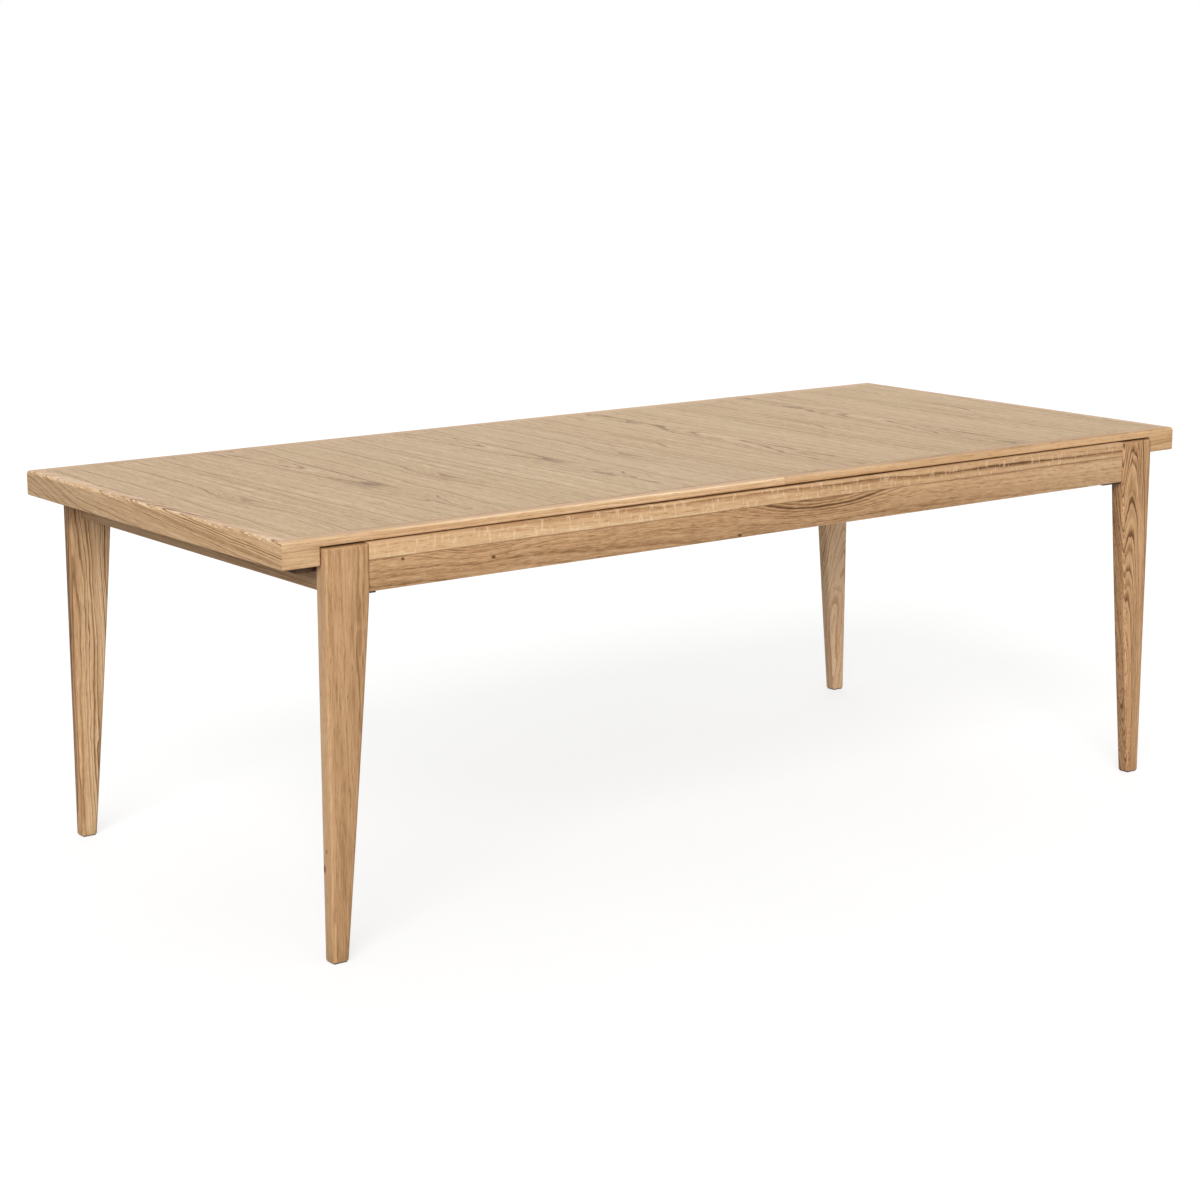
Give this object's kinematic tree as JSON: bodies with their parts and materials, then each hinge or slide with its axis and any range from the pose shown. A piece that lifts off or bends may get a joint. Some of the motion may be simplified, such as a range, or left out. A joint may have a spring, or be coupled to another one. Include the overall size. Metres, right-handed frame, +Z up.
{
  "type": "extendable dining table",
  "caption": "Rectangular oak extending dining table: tapered legs at the corners, a sliding top in two halves and loose leaves stored inside the frame.",
  "frame": {"origin": "on the floor under the middle of the closed table", "axes": "+X along the length, to the right seen from the front; +Y across the width, to the back; +Z up"},
  "size_m": [2.2, 0.97, 0.745],
  "materials": {
    "oak_veneer": "matt oiled oak veneer, grain across the table",
    "oak_lipping": "matt oiled solid oak, grain along each lipping",
    "oak_legs": "matt oiled solid oak",
    "oak_aprons": "matt oiled solid oak",
    "beech": "planed beech, waxed on the runners",
    "felt": "pressed grey felt",
    "black_steel": "black painted steel",
    "zinc_steel": "zinc plated",
    "latch_steel": "yellow zinc plated"
  },
  "bodies": {
    "frame": {"leg_front_left": "oak_legs", "leg_front_right": "oak_legs", "leg_back_left": "oak_legs", "leg_back_right": "oak_legs", "glides": "felt", "front_apron": "oak_aprons", "back_apron": "oak_aprons", "left_end_apron": "oak_aprons", "right_end_apron": "oak_aprons", "front_guide": "beech", "back_guide": "beech", "guide_screws": "zinc_steel", "left_bearer": "beech", "centre_bearer": "beech", "right_bearer": "beech", "leaf_fences": "beech", "leaf_pads": "felt", "corner_blocks": "beech", "corner_plates": "black_steel", "plate_screws": "zinc_steel", "leg_bolts": "zinc_steel", "bolt_washers": "zinc_steel", "bolt_nuts": "zinc_steel", "lower_leaf_panel": "oak_veneer", "lower_leaf_lippings": "oak_lipping", "lower_leaf_dowels": "beech", "upper_leaf_panel": "oak_veneer", "upper_leaf_lippings": "oak_lipping", "upper_leaf_dowels": "beech"},
    "left_top": {"left_panel": "oak_veneer", "left_end_lipping": "oak_lipping", "left_front_lipping": "oak_lipping", "left_back_lipping": "oak_lipping", "left_end_rail": "beech", "left_seam_batten": "beech", "left_middle_batten": "beech", "left_front_runner": "beech", "left_back_runner": "beech", "left_runner_screws": "zinc_steel", "left_runner_stops": "beech", "alignment_dowels": "beech", "latch_plates": "latch_steel", "latch_pivots": "latch_steel"},
    "right_top": {"right_panel": "oak_veneer", "right_end_lipping": "oak_lipping", "right_front_lipping": "oak_lipping", "right_back_lipping": "oak_lipping", "right_end_rail": "beech", "right_seam_batten": "beech", "right_middle_batten": "beech", "right_front_runner": "beech", "right_back_runner": "beech", "right_runner_screws": "zinc_steel", "right_runner_stops": "beech", "keeper_plates": "latch_steel", "keeper_pins": "latch_steel"},
    "front_latch": {"front_latch": "latch_steel"},
    "back_latch": {"back_latch": "latch_steel"}
  },
  "joints": [
    {"name": "left_slide", "type": "slide", "parent": "frame", "child": "left_top", "axis": [-1, 0, 0], "range_m": [0, 0.5]},
    {"name": "right_slide", "type": "slide", "parent": "frame", "child": "right_top", "axis": [1, 0, 0], "range_m": [0, 0.5]},
    {"name": "front_latch_turn", "type": "hinge", "parent": "left_top", "child": "front_latch", "pos_m": [-0.045, -0.33, 0.7262], "axis": [0, 0, -1], "range_deg": [0, 90]},
    {"name": "back_latch_turn", "type": "hinge", "parent": "left_top", "child": "back_latch", "pos_m": [-0.045, 0.33, 0.7262], "axis": [0, 0, 1], "range_deg": [0, 90]}
  ]
}
